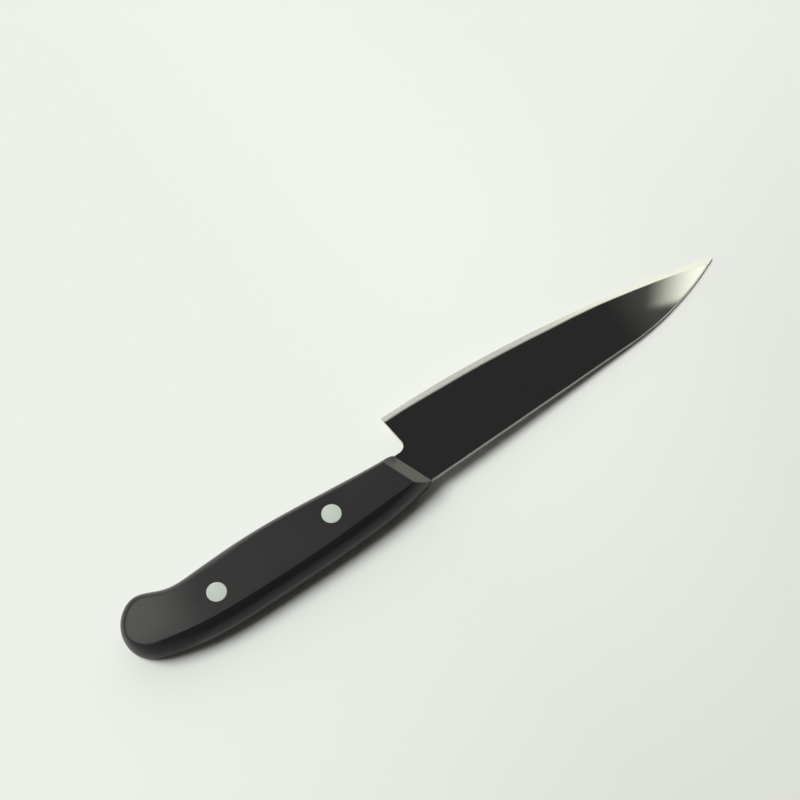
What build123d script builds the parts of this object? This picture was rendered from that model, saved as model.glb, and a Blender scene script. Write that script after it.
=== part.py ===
from build123d import *
import os
from math import atan, cos, radians, sin, sqrt, tan

# Paring knife with a riveted two-scale handle, lying on its right side.
# Millimetres. +X runs to the tip, +Y to the cutting edge, +Z up.
# The origin is on the lower flat of the handle, midway between the two rivets.

# Handle
handle_length = 98.8        # butt to the foot of the front slope, along the rivet line
handle_height = 21.5        # height that the outline shares below are taken of
handle_thickness = 12.0     # across the two flats
butt_reach = 49.7           # origin back to the butt
side_bulge = 3.1            # how far the round side stands out past the flat
front_sweep = 18.5          # degrees, slant of the handle's front across the blade
front_slope = 45.0          # degrees, fall of the front slope from the flat to the blade
flat_edge_radius = 0.3      # eased edge round each flat

# Blade
blade_length = 116.2        # heel to tip
blade_heel_width = 25.85    # spine to cutting edge at the heel
spine_offset = 7.2          # rivet line to the spine
tip_offset = 1.2            # rivet line to the tip, towards the edge
heel_gap = 2.5              # foot of the front slope to the heel, along the rivet line
heel_lean = 3.0             # degrees, slant of the heel cut
spine_thickness = 1.8
heel_shoulder_thickness = 0.6   # behind the edge bevel at the heel
tip_thickness = 0.76
bevel_angle = 11.3          # degrees, each side of the edge bevel
spine_drop_length = 39.3    # length of the spine's curve down to the tip

# Neck between the heel and the handle
neck_offset = 5.9           # rivet line to the belly side of the neck
neck_radius = 2.8           # hollow between heel and neck
neck_seat = 1.0             # how far the full neck goes into the handle

# Hidden tang
tang_shoulder = 2.0         # step in from the spine and the neck, each side
tang_wall = 1.0             # metal left each side of the rear rivet's hole
tang_end_cover = 12.8       # handle left solid behind the tang
tang_root_radius = 0.8
tang_clearance = 0.15       # round the tang's outline

# Cutler's rivets, each a pin pressed into a sleeve
rivet_spacing = 40.8
rivet_head_diameter = 6.0
rivet_head_depth = 1.6
head_ledge = 0.9            # how far each head stands out past the sleeve
sleeve_wall = 0.58
pin_clearance = 0.02        # round the pin in the sleeve
head_clearance = 0.03       # round each head in its counterbore
shank_clearance = 0.1       # round each sleeve
sleeve_end_gap = 0.6        # sleeve's end to the pin's head
pin_end_gap = 0.6           # pin's end to the bottom of the sleeve's bore
sleeve_floor = 0.8          # solid metal between the bore and the head's face
shank_chamfer = 0.25

overrun = 6.0               # how far every cutting shape runs past what it cuts

# Worked out from the sizes above
half_thickness = handle_thickness / 2
mid_plane = Plane.XY.offset(half_thickness)
half_spine = spine_thickness / 2
front_foot = handle_length - butt_reach
heel_reach = front_foot + heel_gap
edge_offset = blade_heel_width - spine_offset
sleeve_diameter = rivet_head_diameter - 2 * head_ledge
pin_diameter = sleeve_diameter - 2 * (sleeve_wall + pin_clearance)
sleeve_hole_diameter = sleeve_diameter + 2 * shank_clearance
rivet_x = {"front": rivet_spacing / 2, "rear": -rivet_spacing / 2}

# Handle outlines as shares: (handle_length from the butt, handle_height from the rivet line).
# Both run from the front of the spine side round the butt to the front of the belly,
# through matching points. The waist is the widest outline, in the mid-plane.
waist_shares = [
    (1.074, -0.298), (0.912, -0.433), (0.659, -0.488), (0.396, -0.470),
    (0.198, -0.391), (0.097, -0.265), (0.031, -0.107), (0.000, 0.144),
    (0.022, 0.502), (0.094, 0.684), (0.178, 0.544), (0.264, 0.507),
    (0.467, 0.512), (0.710, 0.416), (0.892, 0.321), (1.074, 0.251),
]
flat_shares = [
    (1.074, -0.298), (0.892, -0.307), (0.659, -0.335), (0.406, -0.312),
    (0.203, -0.237), (0.102, -0.153), (0.038, -0.056), (0.010, 0.158),
    (0.037, 0.433), (0.095, 0.563), (0.155, 0.437), (0.239, 0.353),
    (0.456, 0.377), (0.710, 0.284), (0.892, 0.202), (1.074, 0.158),
]
level_shares = [0, 0.3, 0.6, 0.82, 1]      # heights of the side's outlines, of half the thickness

# The cutting edge is one curve with two control points between heel and tip
edge_flat_share = 0.445                    # first point, level with the heel, of the blade's length
edge_fall_share = 0.904                    # second point, of the blade's length
edge_fall_height_share = 0.26              # and its height over the tip, of the heel's
tang_end_round_share = 0.45                # end corners' radius, of the tang's end height


def front_line_x(y, setback=0):
    """X of a line across the knife, parallel to the handle's front, at this Y."""
    return front_foot - y * tan(radians(front_sweep)) - setback / cos(radians(front_sweep))


def side_share(level):
    """Share of the waist outline at this height above the mid-plane: the side is one arc."""
    crease = 2 * atan(side_bulge / half_thickness)
    side_radius = half_thickness / sin(crease)
    return (sqrt(side_radius**2 - level**2) - side_radius * cos(crease)) / side_bulge


def handle_outline(level):
    """Points of the handle's outline at this height above the mid-plane."""
    share = side_share(level)
    points = []
    for (waist_x, waist_y), (flat_x, flat_y) in zip(waist_shares, flat_shares):
        x_share = flat_x + (waist_x - flat_x) * share
        y_share = flat_y + (waist_y - flat_y) * share
        points.append((handle_length * x_share - butt_reach, handle_height * y_share))
    return points


# The spine is straight, then one arc down to the tip
tip_x = heel_reach + blade_length
spine_drop = spine_offset + tip_offset
spine_radius = (spine_drop_length**2 + spine_drop**2) / (2 * spine_drop)
tip_turn = 2 * atan(spine_drop / spine_drop_length)
spare_metal = overrun / 2                  # left past the cutting edge for the bevels to take


def spine_curve_point(turn):
    """Point on the spine's arc after this turn, in radians, from its start."""
    x = tip_x - spine_drop_length + spine_radius * sin(turn)
    return (x, spine_radius * (1 - cos(turn)) - spine_offset)


# The cutting edge, and the same curve moved out for the blank
edge_fall_y = tip_offset + (edge_offset - tip_offset) * edge_fall_height_share
heel = (heel_reach, edge_offset)
edge_flat = (heel_reach + blade_length * edge_flat_share, edge_offset)
edge_fall = (heel_reach + blade_length * edge_fall_share, edge_fall_y)
tip = (tip_x, tip_offset)
blank_flat = (edge_flat[0], edge_offset + spare_metal)
blank_fall = (edge_fall[0], edge_fall_y + spare_metal)

# Corners of the blank
past_tip = spine_curve_point(tip_turn + spare_metal / spine_radius)
heel_foot_x = heel_reach + (edge_offset - neck_offset) * tan(radians(heel_lean))
heel_foot = (heel_foot_x, neck_offset)
heel_top = (heel_reach - spare_metal * tan(radians(heel_lean)), edge_offset + spare_metal)
tang_spine_y = tang_shoulder - spine_offset
tang_belly_y = neck_offset - tang_shoulder
shoulder_spine = (front_line_x(-spine_offset, neck_seat), -spine_offset)
shoulder_belly = (front_line_x(neck_offset, neck_seat), neck_offset)
tang_root_spine = (front_line_x(tang_spine_y, neck_seat), tang_spine_y)
tang_root_belly = (front_line_x(tang_belly_y, neck_seat), tang_belly_y)
tang_end_x = tang_end_cover - butt_reach
tang_end_height = sleeve_hole_diameter + 2 * tang_wall
tang_end_belly = (tang_end_x, tang_end_height / 2)
tang_end_spine = (tang_end_x, -tang_end_height / 2)

# Metal ground off each side: all that lies above a plane through the full spine at the
# neck, the shoulder of the bevel at the heel, and the tip
bevel_rise = heel_shoulder_thickness / 2
bevel_width = bevel_rise / tan(radians(bevel_angle))
grind_spine = Vector(*shoulder_spine, half_thickness + half_spine)
grind_heel = Vector(heel_reach, edge_offset - bevel_width, half_thickness + bevel_rise)
grind_tip = Vector(*tip, half_thickness + tip_thickness / 2)
grind_plane = Plane(
    origin=grind_spine,
    x_dir=grind_tip - grind_spine,
    z_dir=(grind_tip - grind_spine).cross(grind_heel - grind_spine),
)

with BuildPart() as ground_off:
    with BuildSketch(mid_plane):
        with BuildLine():
            behind_y = edge_offset + overrun
            ahead_y = -spine_offset - overrun
            Polyline(
                (front_line_x(ahead_y, neck_seat), ahead_y),
                (tip_x + overrun, ahead_y),
                (tip_x + overrun, behind_y),
                (front_line_x(behind_y, neck_seat), behind_y),
                close=True,
            )
        make_face()
    extrude(amount=overrun)
    split(bisect_by=grind_plane, keep=Keep.TOP)

# Blade with its neck and tang
with BuildPart() as blade:
    with BuildSketch(mid_plane) as blank:
        with BuildLine():
            Line(shoulder_spine, spine_curve_point(0))
            ThreePointArc(spine_curve_point(0), spine_curve_point(tip_turn / 2), past_tip)
            Bezier(past_tip, blank_fall, blank_flat, heel_top)
            Polyline(
                heel_top,
                heel_foot,
                shoulder_belly,
                tang_root_belly,
                tang_end_belly,
                tang_end_spine,
                tang_root_spine,
                shoulder_spine,
            )
        make_face()
        fillet(blank.vertices().sort_by_distance(heel_foot)[0], neck_radius)
        for root in (tang_root_spine, tang_root_belly):
            fillet(blank.vertices().sort_by_distance(root)[0], tang_root_radius)
        tang_end_corners = blank.vertices().sort_by(Axis.X)[:2]
        fillet(tang_end_corners, tang_end_height * tang_end_round_share)
    extrude(amount=half_spine, both=True)
    add(ground_off.part, mode=Mode.SUBTRACT)
    mirror(ground_off.part, about=mid_plane, mode=Mode.SUBTRACT)

    # Edge bevels on both sides: one arrow-shaped groove run along the cutting edge
    edge_start = (heel_reach - overrun, edge_offset)
    edge_end = Vector(*tip) + (Vector(*tip) - Vector(*edge_fall)).normalized() * overrun
    with BuildLine(mid_plane) as cutting_edge:
        Line(edge_start, heel)
        Bezier(heel, edge_flat, edge_fall, tip)
        Line(tip, (edge_end.X, edge_end.Y))
    across_edge = Plane(
        origin=(*edge_start, half_thickness), x_dir=(0, 1, 0), z_dir=(1, 0, 0)
    )
    groove_depth = spine_thickness / tan(radians(bevel_angle))
    with BuildSketch(across_edge) as edge_groove:
        with BuildLine():
            Polyline(
                (0, 0),
                (-groove_depth, spine_thickness),
                (overrun, spine_thickness),
                (overrun, -spine_thickness),
                (-groove_depth, -spine_thickness),
                close=True,
            )
        make_face()
    sweep(sections=edge_groove.sketch, path=cutting_edge.line, mode=Mode.SUBTRACT)

    # Rivet holes through the tang
    with Locations(*[(x, 0, half_thickness) for x in rivet_x.values()]):
        Hole(radius=sleeve_hole_diameter / 2)

# Upper handle half, from the mid-plane up to its flat
across_front = (cos(radians(front_sweep)), sin(radians(front_sweep)), 0)
front_face = Plane(origin=(front_foot, 0, half_thickness), z_dir=across_front)
front_rise = cos(radians(front_slope))
front_run = sin(radians(front_slope))
front_slope_face = Plane(
    origin=(front_foot, 0, half_thickness + half_spine),
    z_dir=(across_front[0] * front_run, across_front[1] * front_run, front_rise),
)

with BuildPart() as left_handle_scale:
    for level_share in level_shares:
        level = half_thickness * level_share
        with BuildSketch(mid_plane.offset(level)):
            with BuildLine():
                outline_points = handle_outline(level)
                Spline(*outline_points)
                Line(outline_points[-1], outline_points[0])
            make_face()
    loft()
    split(bisect_by=front_face, keep=Keep.BOTTOM)
    split(bisect_by=front_slope_face, keep=Keep.BOTTOM)
    flat_face = left_handle_scale.faces().sort_by(Axis.Z)[-1]
    fillet(flat_face.edges(), flat_edge_radius)

    # Pocket for half of the tang, and the mouth that fits the neck
    with BuildSketch(mid_plane) as tang_pocket:
        with BuildLine():
            Polyline(
                tang_root_spine,
                tang_end_spine,
                tang_end_belly,
                tang_root_belly,
                close=True,
            )
        make_face()
        offset(amount=tang_clearance, kind=Kind.INTERSECTION)
    extrude(amount=half_spine, mode=Mode.SUBTRACT)
    add(blade.part, mode=Mode.SUBTRACT)

    # Rivet holes, counterbored for the heads
    with Locations(*[(x, 0, handle_thickness) for x in rivet_x.values()]):
        CounterBoreHole(
            radius=sleeve_hole_diameter / 2,
            counter_bore_radius=rivet_head_diameter / 2 + head_clearance,
            counter_bore_depth=rivet_head_depth,
        )

# Lower handle half, the mirror image
with BuildPart() as right_handle_scale:
    mirror(left_handle_scale.part, about=mid_plane)

# Rivets: pins headed at the upper flat, pressed into sleeves headed at the lower flat
sleeve_top = handle_thickness - rivet_head_depth - sleeve_end_gap
pin_end = sleeve_floor + pin_end_gap
rivet_pieces = {}
for place, x in rivet_x.items():
    with BuildPart() as rivet_pin:
        with BuildSketch(Plane.XY.offset(handle_thickness)):
            with Locations((x, 0)):
                Circle(rivet_head_diameter / 2)
        extrude(amount=-rivet_head_depth)
        with BuildSketch(Plane.XY.offset(pin_end)):
            with Locations((x, 0)):
                Circle(pin_diameter / 2)
        extrude(amount=handle_thickness - rivet_head_depth - pin_end)
        chamfer(rivet_pin.faces().sort_by(Axis.Z)[0].edges(), shank_chamfer)
    rivet_pieces[place + "_rivet_pin"] = rivet_pin.part

    with BuildPart() as rivet_sleeve:
        with BuildSketch():
            with Locations((x, 0)):
                Circle(rivet_head_diameter / 2)
        extrude(amount=rivet_head_depth)
        with BuildSketch(Plane.XY.offset(rivet_head_depth)):
            with Locations((x, 0)):
                Circle(sleeve_diameter / 2)
        extrude(amount=sleeve_top - rivet_head_depth)
        chamfer(rivet_sleeve.faces().sort_by(Axis.Z)[-1].edges(), shank_chamfer)
        with BuildSketch(Plane.XY.offset(sleeve_floor)):
            with Locations((x, 0)):
                Circle(pin_diameter / 2 + pin_clearance)
        extrude(amount=handle_thickness, mode=Mode.SUBTRACT)
    rivet_pieces[place + "_rivet_sleeve"] = rivet_sleeve.part

# Label and export every piece
blade.part.label = "blade"
left_handle_scale.part.label = "left_handle_scale"
right_handle_scale.part.label = "right_handle_scale"
for name, piece in rivet_pieces.items():
    piece.label = name

os.makedirs("parts", exist_ok=True)
export_step(blade.part, "parts/blade.step")
export_step(left_handle_scale.part, "parts/left_handle_scale.step")
export_step(right_handle_scale.part, "parts/right_handle_scale.step")
for name, piece in rivet_pieces.items():
    export_step(piece, f"parts/{name}.step")
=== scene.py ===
"""Paring knife: finished pieces, floor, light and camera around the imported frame."""
import math

import bmesh
import bpy
import numpy as np
from bpy.props import (
    FloatProperty,
    FloatVectorProperty,
    IntProperty,
    PointerProperty,
)
from bpy.types import Operator, Panel, PropertyGroup
from mathutils import Matrix, Vector
from mathutils.geometry import delaunay_2d_cdt


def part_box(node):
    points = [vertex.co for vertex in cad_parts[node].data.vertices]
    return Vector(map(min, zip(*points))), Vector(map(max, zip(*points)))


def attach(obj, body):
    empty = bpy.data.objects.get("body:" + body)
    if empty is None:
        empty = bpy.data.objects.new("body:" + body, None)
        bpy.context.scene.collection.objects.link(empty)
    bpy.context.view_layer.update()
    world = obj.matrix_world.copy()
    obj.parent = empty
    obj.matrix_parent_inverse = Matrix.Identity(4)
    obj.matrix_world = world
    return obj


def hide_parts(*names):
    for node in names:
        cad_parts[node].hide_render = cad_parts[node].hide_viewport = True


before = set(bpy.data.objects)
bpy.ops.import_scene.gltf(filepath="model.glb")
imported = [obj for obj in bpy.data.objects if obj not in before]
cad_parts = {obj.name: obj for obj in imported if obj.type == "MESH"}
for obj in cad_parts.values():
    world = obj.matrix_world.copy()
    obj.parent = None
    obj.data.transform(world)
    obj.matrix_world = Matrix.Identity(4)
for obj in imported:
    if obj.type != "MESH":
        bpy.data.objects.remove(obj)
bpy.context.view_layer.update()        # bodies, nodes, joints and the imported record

bl_info = {
    "name": "Paring Knife",
    "version": (1, 0, 0),
    "blender": (4, 5, 0),
    "location": "3D View > Sidebar > Knife",
    "description": "Builds a paring knife with a riveted two-scale handle",
    "category": "Add Mesh",
}

BODY = "root"

# The handle's outlines, as shares of its length from the butt and of its height from
# the rivet line, from the front of the spine side round the butt to the belly.
WAIST_SHARES = (
    (1.074, -0.298), (0.912, -0.433), (0.659, -0.488), (0.396, -0.470),
    (0.198, -0.391), (0.097, -0.265), (0.031, -0.107), (0.000, 0.144),
    (0.022, 0.502), (0.094, 0.684), (0.178, 0.544), (0.264, 0.507),
    (0.467, 0.512), (0.710, 0.416), (0.892, 0.321), (1.074, 0.251),
)
FLAT_SHARES = (
    (1.074, -0.298), (0.892, -0.307), (0.659, -0.335), (0.406, -0.312),
    (0.203, -0.237), (0.102, -0.153), (0.038, -0.056), (0.010, 0.158),
    (0.037, 0.433), (0.095, 0.563), (0.155, 0.437), (0.239, 0.353),
    (0.456, 0.377), (0.710, 0.284), (0.892, 0.202), (1.074, 0.158),
)
OUTLINE_SAMPLES = 6000   # points on each dense outline
LEVEL_STEPS = 14         # heights of a handle half at which its outline is drawn
LEVEL_GAP = 2e-4         # least distance between such a height and the slope's foot
INNER_LOOP = 1.3         # distance from the flat's border to the loop inside it, in radii
CORNER_SHARE = 0.6       # rounding of the front's corners, as a share of the edge radius

# The blade's faces, told apart by how far they look up or down. The numbers are also
# the places of their steels on the blade.
SIDE, BEVEL, NARROW = range(3)
SIDE_LEVEL = 0.99
NARROW_LEVEL = 0.1

DROP_RUN = 0.025         # length over which the spine's rounding grows towards the tip
FADE_END = 0.144         # where the shoulder has faded, along the knife
FADE_RUN = 0.020         # length over which it fades
LEAST_SHOULDER = 0.05    # share of the shoulder that stays at the tip
STRIP_SHARE = 0.4        # most of the edge bevel's width that the shoulder takes
WIDE_RISE = 0.6          # share of the reach over which the edge bevel widens

# Edges that turn by more than this stay sharp
HANDLE_SHARP = math.radians(40)
BLADE_SHARP = math.radians(5)
HEEL_SHARP = math.radians(8)
RIVET_SHARP = math.radians(35)

FLAT_ANGLE = math.radians(0.02)   # faces within this angle are one face
JOIN_ANGLE = math.radians(3)      # triangles within this angle become a quad
MERGE_DISTANCE = 1e-7             # points closer than this are one point
RIM_TURNS = (30, 60, 90)          # steps of a rivet's rounded rim, in degrees
RIVET_MERGE = 0.00001             # points of a rivet closer than this are one point


def node_size(node, axis):
    """Extent of a frame node along an axis, in metres."""
    low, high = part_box(node)
    return high[axis] - low[axis]


# ---- Sizes and colours that a user would change ----


class HandleSettings(PropertyGroup):
    """Sizes of the two handle halves."""

    length: FloatProperty(
        name="Length", description="Butt to the foot of the front slope",
        default=0.0988, unit="LENGTH",
    )
    height: FloatProperty(
        name="Height", description="Height that the outline shares are taken of",
        default=0.0215, unit="LENGTH",
    )
    butt_reach: FloatProperty(
        name="Butt Reach", description="Middle of the rivets back to the butt",
        default=0.0497, unit="LENGTH",
    )
    half_thickness: FloatProperty(
        name="Half Thickness", description="Middle plane to one flat",
        default=node_size("left_handle_scale", 2), unit="LENGTH",
    )
    side_bulge: FloatProperty(
        name="Side Bulge", description="How far the round side stands out past the flat",
        default=0.0031, unit="LENGTH",
    )
    front_sweep: FloatProperty(
        name="Front Sweep", description="Slant of the handle's front across the blade",
        default=math.radians(18.5), subtype="ANGLE",
    )
    front_slope: FloatProperty(
        name="Front Slope", description="Fall of the front slope to the blade",
        default=math.radians(45.0), subtype="ANGLE",
    )
    foot_rise: FloatProperty(
        name="Foot Rise", description="Middle plane to the foot of the front slope",
        default=0.0009, unit="LENGTH",
    )
    edge_radius: FloatProperty(
        name="Edge Radius", description="Eased edge round each flat",
        default=0.0005, unit="LENGTH",
    )
    seam_radius: FloatProperty(
        name="Seam Radius", description="Eased edge where the two halves meet",
        default=0.00004, unit="LENGTH",
    )
    around: IntProperty(
        name="Steps Around", description="Faces along the outline", default=260
    )
    across: IntProperty(
        name="Steps Across", description="Faces along the front line", default=16
    )


class RivetSettings(PropertyGroup):
    """Sizes of the two rivets."""

    spacing: FloatProperty(
        name="Spacing", description="Distance between the rivets",
        default=0.0408, unit="LENGTH",
    )
    head_diameter: FloatProperty(
        name="Head Diameter", description="Flush head",
        default=node_size("front_rivet_pin", 0), unit="LENGTH",
    )
    head_depth: FloatProperty(
        name="Head Depth", description="Thickness of the head",
        default=0.0016, unit="LENGTH",
    )
    rim_radius: FloatProperty(
        name="Rim Radius", description="Worn edge of the head",
        default=0.00006, unit="LENGTH",
    )
    sleeve_diameter: FloatProperty(
        name="Sleeve Diameter", description="Outside of the sleeve",
        default=0.0042, unit="LENGTH",
    )
    pin_diameter: FloatProperty(
        name="Pin Diameter", description="Shank of the pin",
        default=0.0030, unit="LENGTH",
    )
    pin_length: FloatProperty(
        name="Pin Length", description="Shank of the pin below its head",
        default=0.0090, unit="LENGTH",
    )
    sleeve_length: FloatProperty(
        name="Sleeve Length", description="Sleeve below its head",
        default=0.0082, unit="LENGTH",
    )
    head_clearance: FloatProperty(
        name="Head Clearance", description="Gap round each head",
        default=0.00003, unit="LENGTH",
    )
    segments: IntProperty(
        name="Segments", description="Faces round each head", default=96
    )


class BladeSettings(PropertyGroup):
    """Finish of the blade's edges."""

    edge_break: FloatProperty(
        name="Edge Break", description="Eased edges of spine, heel and neck",
        default=0.00002, unit="LENGTH",
    )
    tip_break: FloatProperty(
        name="Tip Break", description="Eased spine where it drops to the tip",
        default=0.00032, unit="LENGTH",
    )
    drop_start: FloatProperty(
        name="Drop Start", description="Where along the knife the spine starts to drop",
        default=0.122, unit="LENGTH",
    )
    drop_side: FloatProperty(
        name="Drop Side", description="Edges past the drop's start and below this are spine",
        default=0.0008, unit="LENGTH",
    )
    heel_line: FloatProperty(
        name="Heel Line", description="Where the heel's sharp edges end",
        default=0.0525, unit="LENGTH",
    )
    shoulder: FloatProperty(
        name="Shoulder", description="Soft run between the side and the edge bevel",
        default=0.00045, unit="LENGTH",
    )
    wide_extra: FloatProperty(
        name="Wide Extra", description="How much wider the edge bevel is at its widest",
        default=0.0007, unit="LENGTH",
    )
    wide_place: FloatProperty(
        name="Wide Place", description="Where along the knife the bevel is widest",
        default=0.090, unit="LENGTH",
    )
    wide_reach: FloatProperty(
        name="Wide Reach", description="How far the wider part runs to each side",
        default=0.040, unit="LENGTH",
    )
    steel: FloatVectorProperty(
        name="Steel", description="Colour of the blade's steel",
        default=(0.60, 0.60, 0.59), subtype="COLOR", min=0, max=1,
    )


class StudioSettings(PropertyGroup):
    """Floor, light and camera."""

    floor_side: FloatProperty(
        name="Floor Side", description="Side of the square floor",
        default=4.0, unit="LENGTH",
    )
    floor_rise: FloatProperty(
        name="Floor Rise", description="How far the paper floor rises under the blade",
        default=0.0055, unit="LENGTH",
    )
    rise_start: FloatProperty(
        name="Rise Start", description="Where along the knife the rise starts",
        default=0.048, unit="LENGTH",
    )
    rise_length: FloatProperty(
        name="Rise Length", description="Run of the rise along the knife",
        default=0.112, unit="LENGTH",
    )
    lamp_energy: FloatProperty(
        name="Lamp Energy", description="Strength of the soft lamp", default=2.5
    )
    lamp_spread: FloatProperty(
        name="Lamp Spread", description="How wide the lamp looks from the knife",
        default=math.radians(31), subtype="ANGLE",
    )
    view_angle: FloatProperty(
        name="View Angle", description="Camera's field of view",
        default=math.radians(22.54), subtype="ANGLE",
    )
    camera_place: FloatVectorProperty(
        name="Camera Place", description="Where the camera stands",
        default=(-0.0847, -0.2060, 0.5567), subtype="TRANSLATION", unit="LENGTH",
    )


# ---- Node helpers ----


def new_material(name):
    """Empty node material with its output and a Principled shader."""
    material = bpy.data.materials.new(name)
    material.use_nodes = True
    tree = material.node_tree
    tree.nodes.clear()
    shader = tree.nodes.new("ShaderNodeBsdfPrincipled")
    out = tree.nodes.new("ShaderNodeOutputMaterial")
    tree.links.new(shader.outputs["BSDF"], out.inputs["Surface"])
    return material, tree, shader


def put(tree, socket, value):
    """Link a socket, or set a plain value."""
    if isinstance(value, bpy.types.NodeSocket):
        tree.links.new(value, socket)
    else:
        socket.default_value = value


def make(tree, kind, inputs=None, out=0, **props):
    """Add a node, set its properties and inputs, and return one output."""
    node = tree.nodes.new(kind)
    for key, value in props.items():
        setattr(node, key, value)
    for key, value in (inputs or {}).items():
        put(tree, node.inputs[key], value)
    return node.outputs[out]


def math_node(tree, operation, a, b=0.0):
    """One step of arithmetic, in a material, the world or Geometry Nodes."""
    return make(tree, "ShaderNodeMath", {0: a, 1: b}, operation=operation)


def times(tree, a, b):
    """Product of two values."""
    return math_node(tree, "MULTIPLY", a, b)


def plus(tree, a, b):
    """Sum of two values."""
    return math_node(tree, "ADD", a, b)


def remap(tree, value, low, high, to_low=0.0, to_high=1.0, kind="SMOOTHSTEP"):
    """A value's run from low to high becomes one from to_low to to_high."""
    return make(
        tree, "ShaderNodeMapRange",
        {"Value": value, "From Min": low, "From Max": high,
         "To Min": to_low, "To Max": to_high},
        interpolation_type=kind,
    )


def mix_colour(tree, share, a, b, kind="MIX"):
    """Colour a with this share of b mixed in or, for ADD, added to it."""
    node = tree.nodes.new("ShaderNodeMix")
    node.data_type = "RGBA"
    node.blend_type = kind
    node.clamp_factor = kind == "MIX"
    put(tree, node.inputs["Factor"], share)
    put(tree, node.inputs["A"], a)
    put(tree, node.inputs["B"], b)
    return node.outputs["Result"]


def axes(tree, vector):
    """A vector's X, Y and Z."""
    split = tree.nodes.new("ShaderNodeSeparateXYZ")
    put(tree, split.inputs[0], vector)
    return list(split.outputs)


def object_place(tree, scale=(1, 1, 1), turn=(0, 0, 0)):
    """Object coordinates, turned and stretched."""
    place = make(tree, "ShaderNodeTexCoord", out="Object")
    return make(
        tree, "ShaderNodeMapping", {"Vector": place, "Rotation": turn, "Scale": scale}
    )


def noise(tree, place, scale, detail=2.0, rough=0.5, warp=0.0):
    """Soft random values from 0 to 1."""
    return make(
        tree, "ShaderNodeTexNoise",
        {"Vector": place, "Scale": scale, "Detail": detail,
         "Roughness": rough, "Distortion": warp},
    )


def bump_node(tree, height, strength, distance, **under):
    """Bump from a height, over another bump if one is given as Normal."""
    return make(
        tree, "ShaderNodeBump",
        {"Strength": strength, "Distance": distance, "Height": height, **under},
    )


def metal_grain(tree, scale):
    """Fine ground lines, close together along the axis that is stretched most."""
    return noise(tree, object_place(tree, scale=scale), 1.0, rough=0.6)


# ---- Materials ----

# Where along the knife a mark, a painted shade or a painted light sets in and where it is
# full
SCRATCH_RUN = (-0.020, -0.034)
CREASE_SHADE_RUN = (-0.034, -0.042)
SMUDGE_RUN = (-0.028, -0.040)
BUTT_SHADE_RUN = (-0.030, -0.042)
TIP_PAINTED_LIGHT_RUN = (0.122, 0.150)

BUTT_SHADE = 0.48                   # how dark the painted shade on the paper near the butt gets in reflections
NEAR_SLANT = 0.4                    # slant of the paper's painted shade across the knife where the painted shade sets in, from the back to the front where the painted shade fades again, farther to the front
NEAR_RUN = (0.03, -0.24)            # where it gets darker, from the back to the front
NEAR_END = (-0.60, -0.26)           # where it gets lighter again, farther to the front
SMUDGE_ACROSS = (0.0035, -0.0025)   # the same for the smudge, across the knife
FALL_START = 0.026                  # distance towards the butt where the flat falls away
FALL_SLANT = 0.35                   # slant of that place across the knife
FALL_BEND = -2.8                    # how fast it falls, in height over distance squared
SCRATCH_TURN = math.radians(49)

# The flat's black is lighter than the side's as painted sheen
FLAT_BLACK_PAINTED_SHEEN = (0.0200, 0.0203, 0.0202, 1)
SIDE_BLACK = (0.0160, 0.0166, 0.0172, 1)
CLOUD_BLACK = (0.030, 0.030, 0.030, 1)
CREASE_SHADE_BLACK = (0.004, 0.004, 0.004, 1)
SCRATCH_GREY = (0.06, 0.06, 0.058, 1)
RIVET_DARK = (0.585, 0.645, 0.58, 1)
RIVET_LIGHT = (0.645, 0.71, 0.635, 1)
RIVET_STAIN = (0.52, 0.57, 0.51, 1)
FLOOR_FAR = (0.895, 0.925, 0.86, 1)
FLOOR_NEAR_PAINTED_SHADE = (0.715, 0.735, 0.68, 1)
FLOOR_BUTT_PAINTED_SHADE = (0.14, 0.145, 0.135, 1)


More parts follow.
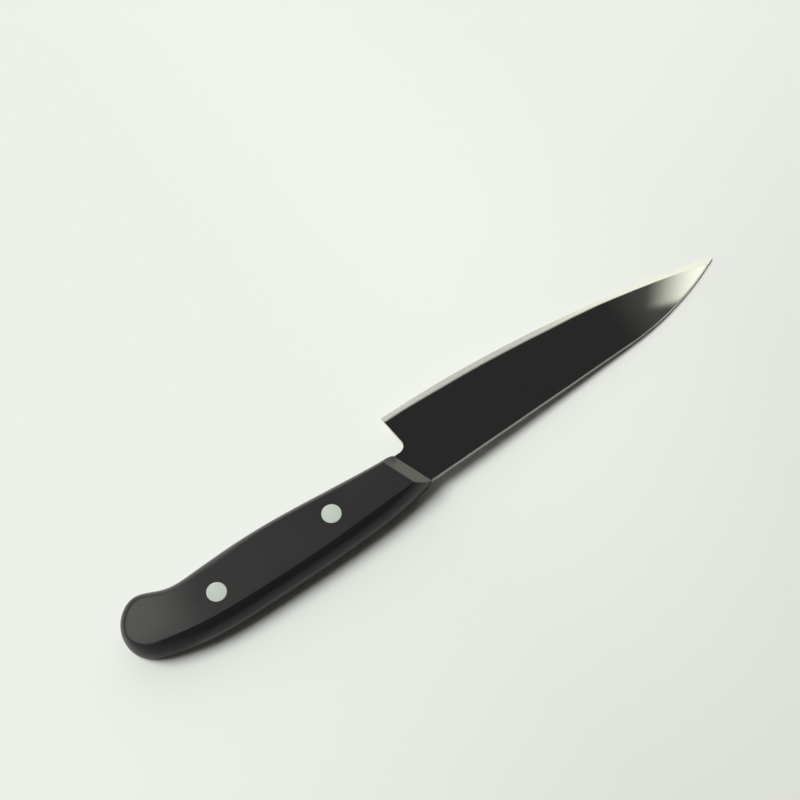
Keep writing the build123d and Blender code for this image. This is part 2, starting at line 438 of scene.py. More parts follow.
def handle_plastic():
    """Dense black moulded plastic, semi-gloss, with faint handling marks, a painted sheen on
    the flat and a painted line of shade round the butt's flat.
    """
    material, tree, shader = new_material("black_handle_plastic")
    place = make(tree, "ShaderNodeTexCoord", out="Object")
    x, y = axes(tree, place)[:2]
    side = make(tree, "ShaderNodeAttribute", out="Fac", attribute_name="side")
    rim = make(tree, "ShaderNodeAttribute", out="Fac", attribute_name="rim")
    grain = noise(tree, place, 1400.0, detail=3.0, rough=0.6)
    cloud = noise(tree, place, 60.0)

    # Short scratches where the hand and the drawer meet the butt
    turned = object_place(tree, scale=(90, 3600, 90), turn=(0, 0, SCRATCH_TURN))
    scratch = noise(tree, turned, 1.0, detail=1.0, rough=0.4, warp=0.15)
    scratch = remap(tree, scratch, 0.72, 0.80)
    scratch = times(tree, scratch, remap(tree, x, *SCRATCH_RUN))
    # A painted dark line of shade runs round the flat of the butt
    crease = times(tree, rim, remap(tree, x, *CREASE_SHADE_RUN))
    # A soft smudge dulls the lower part of the butt's flat
    smudge = times(tree, remap(tree, y, *SMUDGE_ACROSS), remap(tree, x, *SMUDGE_RUN))

    # The flat is painted a little lighter than the side: painted sheen for the light it
    # catches
    tone = mix_colour(tree, side, FLAT_BLACK_PAINTED_SHEEN, SIDE_BLACK)
    tone = mix_colour(tree, times(tree, cloud, 0.2), tone, CLOUD_BLACK)
    tone = mix_colour(tree, scratch, tone, SCRATCH_GREY)
    # Painted shade along the edge of the butt's flat
    tone = mix_colour(tree, times(tree, crease, 0.8), tone, CREASE_SHADE_BLACK)
    put(tree, shader.inputs["Base Color"], tone)
    rough = remap(tree, cloud, 0.3, 0.7, 0.27, 0.31, "LINEAR")
    rough = math_node(tree, "SUBTRACT", rough, times(tree, side, 0.04))
    for mark, extra in ((scratch, 0.2), (crease, 0.35), (smudge, 0.08)):
        rough = plus(tree, rough, times(tree, mark, extra))
    put(tree, shader.inputs["Roughness"], rough)
    shader.inputs["IOR"].default_value = 1.48
    shader.inputs["Specular IOR Level"].default_value = 0.25
    bump = bump_node(tree, grain, strength=0.25, distance=0.00002)
    # The flat falls away slightly towards the butt
    fall = math_node(tree, "SUBTRACT", times(tree, y, FALL_SLANT), x)
    fall = math_node(tree, "SUBTRACT", fall, FALL_START)
    fall = math_node(tree, "MAXIMUM", fall, 0.0)
    fall = times(tree, times(tree, fall, fall), FALL_BEND)
    bump = bump_node(tree, fall, strength=1.0, distance=1.0, Normal=bump)
    put(tree, shader.inputs["Normal"], bump)
    return material


def blade_steel():
    """Fine-ground stainless steel, close to a mirror."""
    material, tree, shader = new_material("ground_blade_steel")
    colour = bpy.context.scene.knife_blade.steel
    shader.inputs["Base Color"].default_value = (*colour, 1)
    shader.inputs["Metallic"].default_value = 1.0
    lines = metal_grain(tree, (9000, 120, 120))
    smears = noise(tree, object_place(tree), 70.0, warp=0.6)
    rough = remap(tree, lines, 0.3, 0.7, 0.018, 0.030, "LINEAR")
    rough = plus(tree, rough, remap(tree, smears, 0.45, 0.75, 0.0, 0.012))
    put(tree, shader.inputs["Roughness"], rough)
    bump = bump_node(tree, lines, strength=0.1, distance=0.000002)
    put(tree, shader.inputs["Normal"], bump)
    return material


def ground_steel(name, heel, tip, rough):
    """Coarser ground steel, with lines across the blade, for its narrow faces. heel and tip
    are the shares of the steel's colour at the two ends; where they differ, it is painted
    shade at the heel and painted reflected light at the tip."""
    material, tree, shader = new_material(name)
    steel = Vector(bpy.context.scene.knife_blade.steel)
    x = axes(tree, object_place(tree))[0]
    # Painted shade and light along the knife, where heel and tip differ
    tone = mix_colour(
        tree, remap(tree, x, *TIP_PAINTED_LIGHT_RUN), (*(steel * heel), 1), (*(steel * tip), 1)
    )
    put(tree, shader.inputs["Base Color"], tone)
    shader.inputs["Metallic"].default_value = 1.0
    lines = metal_grain(tree, (12000, 300, 300))
    put(tree, shader.inputs["Roughness"], remap(tree, lines, 0.3, 0.7, *rough, "LINEAR"))
    bump = bump_node(tree, lines, strength=0.04, distance=0.000002)
    put(tree, shader.inputs["Normal"], bump)
    return material


def rivet_metal():
    """Matte rivet metal, ground flush with the handle."""
    material, tree, shader = new_material("matte_rivet_metal")
    lines = metal_grain(tree, (300, 9000, 300))
    stain = noise(tree, object_place(tree), 500.0)
    tone = mix_colour(tree, lines, RIVET_DARK, RIVET_LIGHT)
    tone = mix_colour(tree, remap(tree, stain, 0.55, 0.75, 0.0, 0.25), tone, RIVET_STAIN)
    put(tree, shader.inputs["Base Color"], tone)
    shader.inputs["Metallic"].default_value = 0.35
    rough = remap(tree, lines, 0.3, 0.7, 0.76, 0.84, "LINEAR")
    put(tree, shader.inputs["Roughness"], rough)
    bump = bump_node(tree, lines, strength=0.3, distance=0.00001)
    put(tree, shader.inputs["Normal"], bump)
    return material


def floor_paint():
    """Plain pale paper with painted shade on its near side, and painted shade near the butt
    that only reflections show.
    """
    material, tree, shader = new_material("pale_floor")
    x, y = axes(tree, make(tree, "ShaderNodeTexCoord", out="Object"))[:2]
    # Painted shade: the paper is darker on the near side
    near = math_node(tree, "SUBTRACT", y, times(tree, x, NEAR_SLANT))
    shade = times(tree, remap(tree, near, *NEAR_RUN), remap(tree, near, *NEAR_END))
    tone = mix_colour(tree, shade, FLOOR_FAR, FLOOR_NEAR_PAINTED_SHADE)
    # Painted shade: reflected in the butt's side, the paper near it is painted dark
    shade = times(
        tree, make(tree, "ShaderNodeLightPath", out="Is Glossy Ray"),
        remap(tree, x, *BUTT_SHADE_RUN, 0.0, BUTT_SHADE),
    )
    tone = mix_colour(tree, shade, tone, FLOOR_BUTT_PAINTED_SHADE)
    put(tree, shader.inputs["Base Color"], tone)
    fibre = noise(tree, object_place(tree), 900.0, detail=3.0, rough=0.6)
    bump = bump_node(tree, fibre, strength=0.1, distance=0.00005)
    put(tree, shader.inputs["Normal"], bump)
    shader.inputs["Roughness"].default_value = 0.9
    return material


# ---- Mesh helpers ----


def smooth_share(value):
    """0 below 0, 1 above 1, and a soft rise between them."""
    share = min(max(value, 0.0), 1.0)
    return share * share * (3 - 2 * share)


def circle_loop(mesh, centre, radius, z, segments):
    """Points round a circle whose centre lies on the rivet line."""
    turns = [2 * math.pi * i / segments for i in range(segments)]
    return [
        mesh.verts.new((centre + radius * math.cos(turn), radius * math.sin(turn), z))
        for turn in turns
    ]


def bridge(mesh, lower, upper):
    """Quads between two loops of the same count."""
    count = len(lower)
    for i in range(count):
        j = (i + 1) % count
        mesh.faces.new((lower[i], lower[j], upper[j], upper[i]))


def fill_between(mesh, loops, z):
    """Faces of a flat region between an outer loop and holes, all at one height."""
    points, edges, verts = [], [], []
    for loop in loops:
        start = len(points)
        points += [Vector((v.co.x, v.co.y)) for v in loop]
        edges += [(start + i, start + (i + 1) % len(loop)) for i in range(len(loop))]
        verts += list(loop)
    inside_only, closeness = 1, 1e-9
    result = delaunay_2d_cdt(points, edges, [], inside_only, closeness)
    where = []
    for i, co in enumerate(result[0]):
        source = result[3][i]
        where.append(verts[source[0]] if source else mesh.verts.new((co.x, co.y, z)))
    holes = [set(loop) for loop in loops[1:]]
    for face in result[2]:
        corners = [where[i] for i in face]
        if not any(hole.issuperset(corners) for hole in holes):
            mesh.faces.new(corners)


def mark_sharp(mesh, angle):
    """Edges that turn by less than the angle are shaded smooth, and the others sharp."""
    for edge in mesh.edges:
        edge.smooth = edge.calc_face_angle(0.0) < angle


def object_from(mesh, name, materials):
    """A new object with this mesh and these materials."""
    data = bpy.data.meshes.new(name)
    mesh.to_mesh(data)
    mesh.free()
    piece = bpy.data.objects.new(name, data)
    bpy.context.scene.collection.objects.link(piece)
    for material in materials:
        data.materials.append(material)
    return piece


def add_bevel(piece, name, width, segments, weights="bevel_weight_edge", clamp=False):
    """Round the edges by their weights, which are shares of the width."""
    bevel = piece.modifiers.new(name, "BEVEL")
    bevel.limit_method = "WEIGHT"
    bevel.edge_weight = weights
    bevel.width = width
    bevel.segments = segments
    bevel.use_clamp_overlap = clamp


def apply_modifiers(piece):
    """Replace a piece's mesh by its evaluated one and drop the modifiers."""
    graph = bpy.context.evaluated_depsgraph_get()
    done = bpy.data.meshes.new_from_object(piece.evaluated_get(graph))
    done.name = piece.name
    old = piece.data
    piece.modifiers.clear()
    piece.data = done
    bpy.data.meshes.remove(old)


def apply_flat_normals(piece):
    """Apply the modifiers, with normals that follow the larger faces."""
    normals = piece.modifiers.new("flat_normals", "WEIGHTED_NORMAL")
    normals.keep_sharp = True
    apply_modifiers(piece)


def settle(piece, slot, *nodes):
    """Ride and replacement of a finished piece; the slot is not used."""
    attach(piece, BODY)
    if nodes:
        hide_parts(*nodes)


# ---- Handle ----


def natural_spline(points, at, samples):
    """Smooth curve through points, given at parameters, read at the samples."""
    count = len(points)
    step = np.diff(at)
    matrix = np.zeros((count, count))
    right = np.zeros((count, points.shape[1]))
    matrix[0, 0] = matrix[-1, -1] = 1.0
    for i in range(1, count - 1):
        matrix[i, i - 1 : i + 2] = step[i - 1], 2 * (step[i - 1] + step[i]), step[i]
        slope_after = (points[i + 1] - points[i]) / step[i]
        slope_before = (points[i] - points[i - 1]) / step[i - 1]
        right[i] = 6 * (slope_after - slope_before)
    bend = np.linalg.solve(matrix, right)
    k = np.clip(np.searchsorted(at, samples) - 1, 0, count - 2)
    h = step[k][:, None]
    a = (at[k + 1] - samples)[:, None] / h
    b = 1 - a
    return (
        a * points[k] + b * points[k + 1]
        + ((a**3 - a) * bend[k] + (b**3 - b) * bend[k + 1]) * h**2 / 6
    )


def run_along(points):
    """Distance along a line of points up to each of them."""
    steps = np.linalg.norm(np.diff(points, axis=0), axis=1)
    return np.concatenate(([0.0], np.cumsum(steps)))


def handle_outlines(handle):
    """Dense waist and flat outlines with matching samples."""
    size = np.array((handle.length, handle.height))
    shift = np.array((handle.butt_reach, 0.0))
    waist = np.array(WAIST_SHARES) * size - shift
    flat = np.array(FLAT_SHARES) * size - shift
    at = run_along((waist + flat) / 2)
    samples = np.linspace(0.0, at[-1], OUTLINE_SAMPLES)
    return natural_spline(waist, at, samples), natural_spline(flat, at, samples)


def side_share(handle, level):
    """Share of the waist outline at this height: the side is one arc."""
    crease = 2 * math.atan(handle.side_bulge / handle.half_thickness)
    radius = handle.half_thickness / math.sin(crease)
    drop = radius * math.cos(crease)
    return (math.sqrt(radius**2 - level**2) - drop) / handle.side_bulge


def handle_ring(handle, outlines, level, inset=0.0):
    """Closed loop of points round a handle half at this height over the middle."""
    waist, flat = outlines
    line = flat + (waist - flat) * side_share(handle, level)
    along = np.gradient(line, axis=0)
    along /= np.linalg.norm(along, axis=1)[:, None]
    line = line + np.column_stack((along[:, 1], -along[:, 0])) * inset

    # The slanted front cuts the outline off, farther back at greater heights
    foot = handle.length - handle.butt_reach
    setback = max(0.0, level - handle.foot_rise) / math.tan(handle.front_slope)
    tangent, secant = math.tan(handle.front_sweep), 1 / math.cos(handle.front_sweep)
    ahead = line[:, 0] - (foot - line[:, 1] * tangent - (setback + inset) * secant)
    inside = np.flatnonzero(ahead < 0)
    ends = []
    for inner, outer in ((inside[0], inside[0] - 1), (inside[-1], inside[-1] + 1)):
        part = ahead[inner] / (ahead[inner] - ahead[outer])
        ends.append(line[inner] + (line[outer] - line[inner]) * part)
    line = np.vstack((ends[0], line[inside], ends[1]))

    run = run_along(line)
    even = np.linspace(0.0, run[-1], handle.around + 1)
    side = np.column_stack([np.interp(even, run, line[:, axis]) for axis in (0, 1)])
    shares = np.linspace(0.0, 1.0, handle.across + 1)[1:-1, None]
    front = side[-1] + (side[0] - side[-1]) * shares
    return np.vstack((side, front))


def handle_levels(handle):
    """Heights of a handle half's rings, from the middle plane up to the flat."""
    half, foot = handle.half_thickness, handle.foot_rise
    levels = [
        half * math.sin(t * math.pi / (2 * LEVEL_STEPS)) for t in range(LEVEL_STEPS + 1)
    ]
    return sorted([level for level in levels if abs(level - foot) > LEVEL_GAP] + [foot])


def rivet_holes(mesh, rivet, half):
    """Walls of the stepped rivet holes. Gives back their rims at the flat and at the
    middle plane."""
    head = rivet.head_diameter / 2 + rivet.head_clearance
    shank = rivet.sleeve_diameter / 2 + rivet.head_clearance
    seat = half - rivet.head_depth
    flat_rims, middle_rims = [], []
    for centre in (-rivet.spacing / 2, rivet.spacing / 2):
        loops = [
            circle_loop(mesh, centre, radius, z, rivet.segments)
            for radius, z in ((head, half), (head, seat), (shank, seat), (shank, 0.0))
        ]
        for above, below in zip(loops, loops[1:]):
            bridge(mesh, above, below)
        flat_rims.append(loops[0])
        middle_rims.append(loops[-1])
    return flat_rims, middle_rims


def weigh_handle_edges(mesh, handle, rings):
    """How much each edge is rounded, as shares of the flat's edge radius."""
    weight = mesh.edges.layers.float.new("bevel_weight_edge")
    seam = handle.seam_radius / handle.edge_radius
    for ring, share in ((rings[-1], 1.0), (rings[0], seam)):
        for here, there in zip(ring, ring[1:] + ring[:1]):
            mesh.edges.get((here, there))[weight] = share
    for lower, higher in zip(rings, rings[1:]):
        for corner in (0, handle.around):
            mesh.edges.get((lower[corner], higher[corner]))[weight] = CORNER_SHARE


def handle_half(name, material, upper):
    """One handle half: round sides, flat, front slope and rivet holes."""
    scene = bpy.context.scene
    handle = scene.knife_handle
    outlines = handle_outlines(handle)
    half = handle.half_thickness
    levels = handle_levels(handle)
    mesh = bmesh.new()
    rings = []
    # The plastic reads from these where the side and the flat's rim are
    side = mesh.verts.layers.float.new("side")
    rim = mesh.verts.layers.float.new("rim")
    for level in levels:
        ring = handle_ring(handle, outlines, level)
        rings.append([mesh.verts.new((x, y, level)) for x, y in ring])
        for vert in rings[-1][1 : handle.around]:
            vert[side] = float(level < levels[-1])
            vert[rim] = float(level == levels[-1])
    for lower, higher in zip(rings, rings[1:]):
        bridge(mesh, lower, higher)
    flat_rims, middle_rims = rivet_holes(mesh, scene.knife_rivets, half)
    # A loop inside the flat's border keeps the flat's shading even
    ring = handle_ring(handle, outlines, levels[-1], handle.edge_radius * INNER_LOOP)
    inner = [mesh.verts.new((x, y, half)) for x, y in ring]
    bridge(mesh, rings[-1], inner)
    fill_between(mesh, [inner, *flat_rims], half)
    fill_between(mesh, [rings[0], *middle_rims], 0.0)
    bmesh.ops.recalc_face_normals(mesh, faces=mesh.faces)
    mark_sharp(mesh, HANDLE_SHARP)
    weigh_handle_edges(mesh, handle, rings)

    place = Matrix.Translation((0, 0, half))
    if not upper:
        place @= Matrix.Diagonal((1, 1, -1, 1))
    bmesh.ops.transform(mesh, matrix=place, verts=mesh.verts)
    if not upper:
        bmesh.ops.reverse_faces(mesh, faces=mesh.faces)
    piece = object_from(mesh, name, [material])
    piece.data.shade_smooth()
    add_bevel(piece, "eased_edges", handle.edge_radius, segments=4, clamp=True)
    apply_flat_normals(piece)
    return piece


class KNIFE_OT_handle(Operator):
    """Build both handle halves"""

    bl_idname = "knife.handle"
    bl_label = "Handle Halves"

    def execute(self, context):
        plastic = handle_plastic()
        for side, upper in (("left", True), ("right", False)):
            node = f"{side}_handle_scale"
            piece = handle_half(f"{side}_moulded_scale", plastic, upper)
            settle(piece, "handle_plastic", node)
        return {"FINISHED"}


# ---- Blade ----


def face_kind(face):
    """Whether a face of the blade is part of a side, an edge bevel or a narrow wall."""
    level = abs(face.normal.z)
    if level < NARROW_LEVEL:
        return NARROW
    return BEVEL if level < SIDE_LEVEL else SIDE


def blade_mesh(blade):
    """The frame's blade with a wider edge bevel and weights for its edges."""
    mesh = bmesh.new()
    mesh.from_mesh(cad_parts["blade"].data)
    bmesh.ops.remove_doubles(mesh, verts=mesh.verts, dist=MERGE_DISTANCE)
    bmesh.ops.dissolve_limit(
        mesh, angle_limit=FLAT_ANGLE, verts=mesh.verts, edges=mesh.edges
    )
    # The edge bevels become one row of quads each, so that they ease evenly
    bmesh.ops.join_triangles(
        mesh, faces=[face for face in mesh.faces if face_kind(face) == BEVEL],
        angle_face_threshold=JOIN_ANGLE, angle_shape_threshold=math.pi,
    )
    mark_sharp(mesh, BLADE_SHARP)
    for face in mesh.faces:
        face.smooth = True
        face.material_index = face_kind(face)
    spine = mesh.edges.layers.float.new("spine_break")
    weight = mesh.edges.layers.float.new("bevel_weight_edge")
    shoulder = set()
    for edge in mesh.edges:
        kinds = sorted(face_kind(face) for face in edge.link_faces)
        middle = (edge.verts[0].co + edge.verts[1].co) / 2
        if kinds == [SIDE, NARROW]:
            if middle.x > blade.drop_start and middle.y < blade.drop_side:
                grow = min((middle.x - blade.drop_start) / DROP_RUN, 1.0)
                edge[spine] = max(grow, blade.edge_break / blade.tip_break)
            else:
                edge[weight] = blade.edge_break / blade.shoulder
        elif kinds == [SIDE, BEVEL]:
            # The shoulder fades towards the tip, and fits the bevel's width
            strip = max(edge.link_faces, key=face_kind)
            room = STRIP_SHARE * strip.calc_area() / edge.calc_length()
            share = min((FADE_END - middle.x) / FADE_RUN, 1.0)
            edge[weight] = min(max(share, LEAST_SHOULDER), room / blade.shoulder)
            shoulder.update(edge.verts)
    for vert in shoulder:
        away = abs(vert.co.x - blade.wide_place) / blade.wide_reach
        vert.co.y -= blade.wide_extra * smooth_share((1 - away) / WIDE_RISE)
    return mesh


def sharpen_heel(piece, heel_line):
    """Sharp edges at the heel keep its wall out of the edge bevel's shading."""
    mesh = bmesh.new()
    mesh.from_mesh(piece.data)
    for edge in mesh.edges:
        at_heel = max(vert.co.x for vert in edge.verts) < heel_line
        if at_heel and edge.calc_face_angle(0.0) > HEEL_SHARP:
            edge.smooth = False
    mesh.to_mesh(piece.data)
    mesh.free()


class KNIFE_OT_blade(Operator):
    """Finish the blade from the frame's own shape"""

    bl_idname = "knife.blade"
    bl_label = "Blade"

    def execute(self, context):
        blade = context.scene.knife_blade
        steels = [
            blade_steel(),
            ground_steel("ground_edge_steel", heel=1.0, tip=1.0, rough=(0.20, 0.27)),
            # The spine's steel is painted darker at the heel and lighter towards the tip:
            # painted shade and painted reflection
            ground_steel("ground_spine_steel", heel=0.62, tip=1.25, rough=(0.30, 0.38)),
        ]
        piece = object_from(blade_mesh(blade), "ground_blade", steels)
        add_bevel(
            piece, "eased_spine", blade.tip_break, segments=3, weights="spine_break"
        )
        add_bevel(piece, "eased_edges", blade.shoulder, segments=6)
        apply_modifiers(piece)
        sharpen_heel(piece, blade.heel_line)
        apply_flat_normals(piece)
        settle(piece, "blade_steel", "blade")
        return {"FINISHED"}


# ---- Rivets ----


def rivet_tree():
    """Geometry Nodes: one turned rivet half, repeated at both rivet places."""
    tree = bpy.data.node_groups.new("turned_rivets", "GeometryNodeTree")
    face = tree.interface
    face.new_socket("Geometry", in_out="OUTPUT", socket_type="NodeSocketGeometry")
    for name in ("Head Radius", "Rim Radius", "Head Depth", "Shank Radius",
                 "Shank Length", "Spacing", "Face Height"):
        face.new_socket(name, in_out="INPUT", socket_type="NodeSocketFloat")
    face.new_socket("Segments", in_out="INPUT", socket_type="NodeSocketInt")
    face.new_socket("Turn", in_out="INPUT", socket_type="NodeSocketFloat")
    face.new_socket("Material", in_out="INPUT", socket_type="NodeSocketMaterial")
    given = tree.nodes.new("NodeGroupInput").outputs

    def vector(x=0.0, y=0.0, z=0.0):
        return make(tree, "ShaderNodeCombineXYZ", {0: x, 1: y, 2: z})

    face_radius = math_node(tree, "SUBTRACT", given["Head Radius"], given["Rim Radius"])
    solid = make(
        tree, "GeometryNodeMeshCircle",
        {"Vertices": given["Segments"], "Radius": face_radius}, fill_type="NGON",
    )
    place = make(tree, "GeometryNodeInputPosition")
    flat = make(tree, "ShaderNodeVectorMath", {0: place, 1: (1, 1, 0)}, operation="MULTIPLY")
    outward = make(tree, "ShaderNodeVectorMath", {0: flat}, operation="NORMALIZE")

    # Every step grows the rim outwards and down: round rim, wall, ledge, shank, end
    steps = []
    previous = (0.0, 0.0)
    for turn in RIM_TURNS:
        angle = math.radians(turn)
        now = (math.sin(angle), 1 - math.cos(angle))
        steps.append((
            times(tree, given["Rim Radius"], now[0] - previous[0]),
            times(tree, given["Rim Radius"], previous[1] - now[1]),
        ))
        previous = now
    wall = math_node(tree, "SUBTRACT", given["Rim Radius"], given["Head Depth"])
    ledge = math_node(tree, "SUBTRACT", given["Shank Radius"], given["Head Radius"])
    steps.append((0.0, wall))
    steps.append((ledge, 0.0))
    steps.append((0.0, times(tree, given["Shank Length"], -1.0)))
    steps.append((times(tree, given["Shank Radius"], -1.0), 0.0))
    rim = None
    for out_step, down_step in steps:
        move = make(
            tree, "ShaderNodeVectorMath",
            {0: outward, "Scale": out_step}, operation="SCALE",
        )
        move = make(
            tree, "ShaderNodeVectorMath", {0: move, 1: vector(z=down_step)}, operation="ADD"
        )
        node = tree.nodes.new("GeometryNodeExtrudeMesh")
        node.mode = "EDGES"
        put(tree, node.inputs["Mesh"], solid)
        if rim is not None:
            put(tree, node.inputs["Selection"], rim)
        put(tree, node.inputs["Offset"], move)
        node.inputs["Offset Scale"].default_value = 1.0
        solid, rim = node.outputs["Mesh"], node.outputs["Top"]
    solid = make(
        tree, "GeometryNodeMergeByDistance", {"Geometry": solid, "Distance": RIVET_MERGE}
    )
    start = vector(x=times(tree, given["Spacing"], -0.5), z=given["Face Height"])
    places = make(
        tree, "GeometryNodeMeshLine",
        {"Count": 2, "Start Location": start, "Offset": vector(x=given["Spacing"])},
        mode="OFFSET",
    )
    repeated = make(
        tree, "GeometryNodeInstanceOnPoints",
        {"Points": places, "Instance": solid, "Rotation": vector(x=given["Turn"])},
    )
    real = make(tree, "GeometryNodeRealizeInstances", {"Geometry": repeated})
    done = make(
        tree, "GeometryNodeSetMaterial", {"Geometry": real, "Material": given["Material"]}
    )
    put(tree, tree.nodes.new("NodeGroupOutput").inputs["Geometry"], done)
    return tree


def turned_rivets(name, tree, values):
    """A piece made by the rivet tree with these inputs."""
    data = bpy.data.meshes.new(name)
    piece = bpy.data.objects.new(name, data)
    bpy.context.scene.collection.objects.link(piece)
    modifier = piece.modifiers.new("turned_rivets", "NODES")
    modifier.node_group = tree
    for item in tree.interface.items_tree:
        if item.in_out == "INPUT":
            modifier[item.identifier] = values[item.name]
    apply_modifiers(piece)
    # The metal may come after an empty slot
    while piece.data.materials[0] is None:
        piece.data.materials.pop(index=0)
    mesh = bmesh.new()
    mesh.from_mesh(piece.data)
    bmesh.ops.remove_doubles(mesh, verts=mesh.verts, dist=MERGE_DISTANCE)
    bmesh.ops.recalc_face_normals(mesh, faces=mesh.faces)
    mark_sharp(mesh, RIVET_SHARP)
    for face in mesh.faces:
        face.smooth = True
    mesh.to_mesh(piece.data)
    mesh.free()
    return piece


class KNIFE_OT_rivets(Operator):
    """Build the rivet pins and the rivet sleeves"""

    bl_idname = "knife.rivets"
    bl_label = "Rivets"

    def execute(self, context):
        rivet = context.scene.knife_rivets
        thickness = 2 * context.scene.knife_handle.half_thickness
        tree = rivet_tree()
        shared = {
            "Head Radius": rivet.head_diameter / 2,
            "Rim Radius": rivet.rim_radius,
            "Head Depth": rivet.head_depth,
            "Spacing": rivet.spacing,
            "Segments": rivet.segments,
            "Material": rivet_metal(),
        }
        pins = turned_rivets("rivet_pins", tree, {
            **shared, "Shank Radius": rivet.pin_diameter / 2,
            "Shank Length": rivet.pin_length, "Face Height": thickness, "Turn": 0.0,
        })
        sleeves = turned_rivets("rivet_sleeves", tree, {
            **shared, "Shank Radius": rivet.sleeve_diameter / 2,
            "Shank Length": rivet.sleeve_length, "Face Height": 0.0, "Turn": math.pi,
        })
        settle(pins, "rivet_metal", "front_rivet_pin", "rear_rivet_pin")
        settle(sleeves, "rivet_metal", "front_rivet_sleeve", "rear_rivet_sleeve")
        return {"FINISHED"}


# ---- Stage ----

FLOOR_STEPS = 800        # strips of the floor along the knife
LAMP_PLACE = Vector((-0.66, 0.46, 1.42))
LAMP_TARGET = Vector((0.05, 0.0, 0.0))
CAMERA_RIGHT = Vector((0.8066, -0.5903, -0.0306))
CAMERA_AHEAD = Vector((0.2362, 0.3693, -0.8988))

CLIP_START = 0.01

# The room that polished faces show: where its parts begin and where they are full,
# as shares of the way to the right or to the back, and how bright they are.
WINDOW_SLANT = 0.55
WINDOW_EDGE = (0.5680, 0.5708)
WINDOW_SIDE_SLANT = 1.134
WINDOW_SIDE = (-0.0655, -0.022)
WINDOW_LIGHT = 1.62
WINDOW_FAR = (0.66, 0.85)
WINDOW_FAR_LIGHT = 0.7
WALL_NEAR_EDGE = (0.41, 0.63)
WALL_FAR_EDGE = (0.97, 0.84)
WALL_MIDDLE = (0.238, 0.285)
WALL_LIGHTS = (0.66, 1.25)          # left and right of its middle
WALL_RIGHT = (0.375, 0.392)
WALL_RIGHT_LIGHT = 0.45
STRIP_NEAR_EDGE = (0.06, -0.04)
STRIP_FAR_EDGE = (-0.42, -0.18)
STRIP_LIGHT = 5.4
LIT_RUN = (-0.30, 0.10)             # nothing above is lit in front of this
FAINT_NEAR = (0.345, 0.366)
FAINT_NEAR_LIGHT = 0.055
FAINT_FAR = (0.50, 0.68)
FAINT_FAR_LIGHT = 1.2
ROOM_RUN = (-0.5, 0.2)
CORNER_LEFT = (-0.12, -0.40)
CORNER_FRONT = (-0.2, -0.6)
TINT_RUN = (0.30, 0.36)

SOFT_RUN = (-0.15, 0.35)            # the white light grows from the front to the back
SOFT_LIGHTS = (0.05, 0.55)

BACKDROP = (0.93, 0.94, 0.92, 1)
ROOM_FRONT = (0.028, 0.034, 0.042, 1)
ROOM_BACK = (0.036, 0.035, 0.035, 1)
ROOM_CORNER = (0.20, 0.205, 0.21, 1)
LIGHT_LEFT = (1, 1, 0.94, 1)
LIGHT_RIGHT = (1, 1.03, 0.86, 1)


def mirrored_room(tree, x, y):
    """The dark room with its lit places that polished faces show. x and y say how far
    to the right and to the back the faces look."""
    # A window on the right, with two slanted edges
    over = remap(tree, plus(tree, y, times(tree, x, WINDOW_SLANT)), *WINDOW_EDGE)
    across = math_node(tree, "SUBTRACT", x, times(tree, y, WINDOW_SIDE_SLANT))
    glow = plus(
        tree, remap(tree, across, *WINDOW_SIDE, 0.0, WINDOW_LIGHT),
        remap(tree, x, *WINDOW_FAR, 0.0, WINDOW_FAR_LIGHT),
    )
    window = times(tree, glow, over)
    # A pale wall at the back, brighter to the right
    wall = times(tree, remap(tree, y, *WALL_NEAR_EDGE), remap(tree, y, *WALL_FAR_EDGE))
    glow = plus(
        tree, remap(tree, x, *WALL_MIDDLE, *WALL_LIGHTS),
        remap(tree, x, *WALL_RIGHT, 0.0, WALL_RIGHT_LIGHT),
    )
    wall = times(tree, wall, glow)
    # A strip of light on the left
    strip = times(
        tree, remap(tree, x, *STRIP_NEAR_EDGE, 0.0, STRIP_LIGHT),
        remap(tree, x, *STRIP_FAR_EDGE),
    )
    lit = math_node(tree, "MAXIMUM", window, math_node(tree, "MAXIMUM", wall, strip))
    lit = times(tree, lit, remap(tree, y, *LIT_RUN))
    # Fainter light farther to the right, also in front
    faint = plus(
        tree, remap(tree, x, *FAINT_NEAR, 0.0, FAINT_NEAR_LIGHT),
        remap(tree, x, *FAINT_FAR, 0.0, FAINT_FAR_LIGHT),
    )
    lit = math_node(tree, "MAXIMUM", lit, faint)

    room = mix_colour(tree, remap(tree, y, *ROOM_RUN), ROOM_FRONT, ROOM_BACK)
    corner = times(tree, remap(tree, x, *CORNER_LEFT), remap(tree, y, *CORNER_FRONT))
    room = mix_colour(tree, corner, room, ROOM_CORNER)
    tint = mix_colour(tree, remap(tree, x, *TINT_RUN), LIGHT_LEFT, LIGHT_RIGHT)
    return mix_colour(tree, lit, room, tint, "ADD")


def studio_world():
    """Soft studio: an even pale backdrop, white light that is stronger from the back,
    and a room that only polished faces show."""
    world = bpy.data.worlds.new("soft_studio")
    world.use_nodes = True
    tree = world.node_tree
    tree.nodes.clear()
    x, y = axes(tree, make(tree, "ShaderNodeTexCoord", out="Generated"))[:2]
    room = mirrored_room(tree, x, y)
    light = remap(tree, y, *SOFT_RUN, *SOFT_LIGHTS)

    path = tree.nodes.new("ShaderNodeLightPath").outputs
    seen, shine, soft = (
        make(tree, "ShaderNodeBackground", {"Color": colour, "Strength": strength})
        for colour, strength in ((BACKDROP, 1.0), (room, 1.0), ((1, 1, 1, 1), light))
    )
    unseen = make(
        tree, "ShaderNodeMixShader", {0: path["Is Glossy Ray"], 1: soft, 2: shine}
    )
    final = make(
        tree, "ShaderNodeMixShader", {0: path["Is Camera Ray"], 1: unseen, 2: seen}
    )
    out = tree.nodes.new("ShaderNodeOutputWorld")
    put(tree, out.inputs["Surface"], final)
    return world


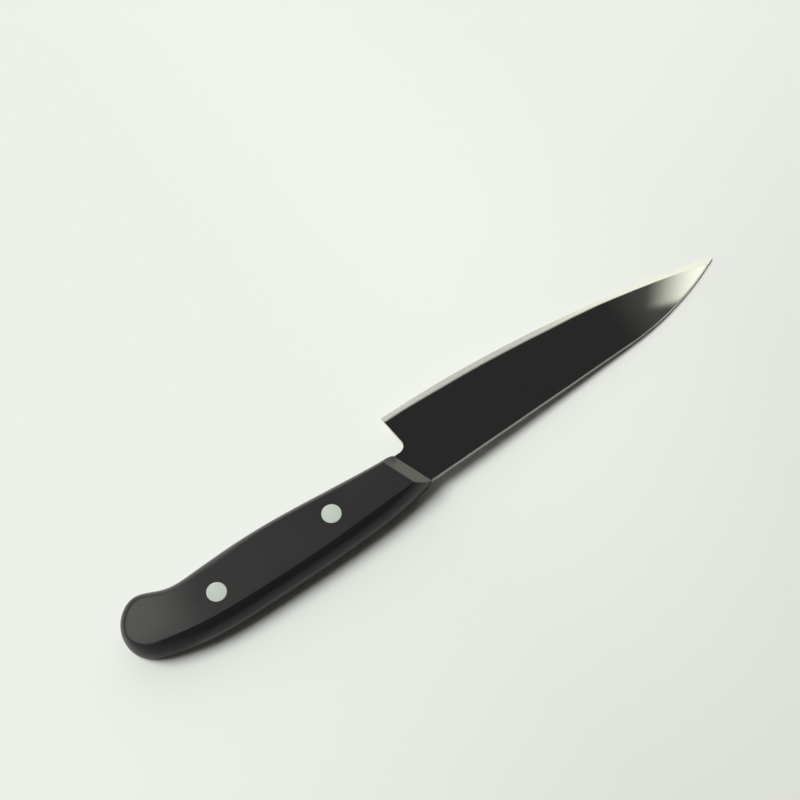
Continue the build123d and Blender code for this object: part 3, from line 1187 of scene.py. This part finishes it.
def paper_floor(studio):
    """Square paper floor that rises gently under the blade."""
    mesh = bmesh.new()
    bmesh.ops.create_grid(
        mesh, x_segments=FLOOR_STEPS, y_segments=1, size=studio.floor_side / 2
    )
    for vert in mesh.verts:
        run = (vert.co.x - studio.rise_start) / studio.rise_length
        vert.co.z = studio.floor_rise * smooth_share(run)
    for face in mesh.faces:
        face.smooth = True
    return object_from(mesh, "floor", [floor_paint()])


def soft_lamp(studio):
    """Wide lamp that polished faces don't show."""
    data = bpy.data.lights.new("soft_lamp", "SUN")
    data.angle = studio.lamp_spread
    data.energy = studio.lamp_energy
    lamp = bpy.data.objects.new("soft_lamp", data)
    lamp.location = LAMP_PLACE
    lamp.rotation_euler = (LAMP_TARGET - LAMP_PLACE).to_track_quat("-Z", "Y").to_euler()
    lamp.visible_glossy = False
    return lamp


def photo_camera(studio):
    """Camera at the photograph's angle."""
    data = bpy.data.cameras.new("photo_camera")
    data.angle = studio.view_angle
    data.clip_start = CLIP_START
    camera = bpy.data.objects.new("photo_camera", data)
    right, ahead = CAMERA_RIGHT.normalized(), CAMERA_AHEAD.normalized()
    up = right.cross(ahead).normalized()
    right = ahead.cross(up)
    turn = Matrix((right, up, -ahead)).transposed().to_4x4()
    camera.matrix_world = Matrix.Translation(studio.camera_place) @ turn
    return camera


class KNIFE_OT_stage(Operator):
    """Set the floor, the light and the camera"""

    bl_idname = "knife.stage"
    bl_label = "Stage"

    def execute(self, context):
        scene = context.scene
        studio = scene.knife_studio
        floor = paper_floor(studio)
        scene.world = studio_world()
        scene.view_settings.view_transform = "Standard"
        scene.collection.objects.link(soft_lamp(studio))
        camera = photo_camera(studio)
        scene.collection.objects.link(camera)
        scene.camera = camera
        return {"FINISHED"}


# ---- Panel, registration and run ----


class KNIFE_PT_panel(Panel):
    """Lists the operators and the settings"""

    bl_idname = "KNIFE_PT_panel"
    bl_label = "Paring Knife"
    bl_space_type = "VIEW_3D"
    bl_region_type = "UI"
    bl_category = "Knife"

    def draw(self, context):
        layout = self.layout
        for operator in OPERATORS:
            layout.operator(operator.bl_idname)
        for name, group in SETTINGS:
            box = layout.box()
            settings = getattr(context.scene, name)
            for prop in group.__annotations__:
                box.prop(settings, prop)


SETTINGS = (
    ("knife_handle", HandleSettings),
    ("knife_rivets", RivetSettings),
    ("knife_blade", BladeSettings),
    ("knife_studio", StudioSettings),
)
OPERATORS = (KNIFE_OT_blade, KNIFE_OT_handle, KNIFE_OT_rivets, KNIFE_OT_stage)


def register():
    """Register the classes and put the settings on the scene."""
    for name, group in SETTINGS:
        bpy.utils.register_class(group)
        setattr(bpy.types.Scene, name, PointerProperty(type=group))
    for cls in (*OPERATORS, KNIFE_PT_panel):
        bpy.utils.register_class(cls)


def unregister():
    """Take the classes and the settings away again."""
    for cls in reversed((*OPERATORS, KNIFE_PT_panel)):
        bpy.utils.unregister_class(cls)
    for name, group in reversed(SETTINGS):
        delattr(bpy.types.Scene, name)
        bpy.utils.unregister_class(group)


def main():
    """Build the knife and its stage."""
    register()
    bpy.ops.knife.blade()
    bpy.ops.knife.handle()
    bpy.ops.knife.rivets()
    bpy.ops.knife.stage()


if __name__ == "__main__":
    main()
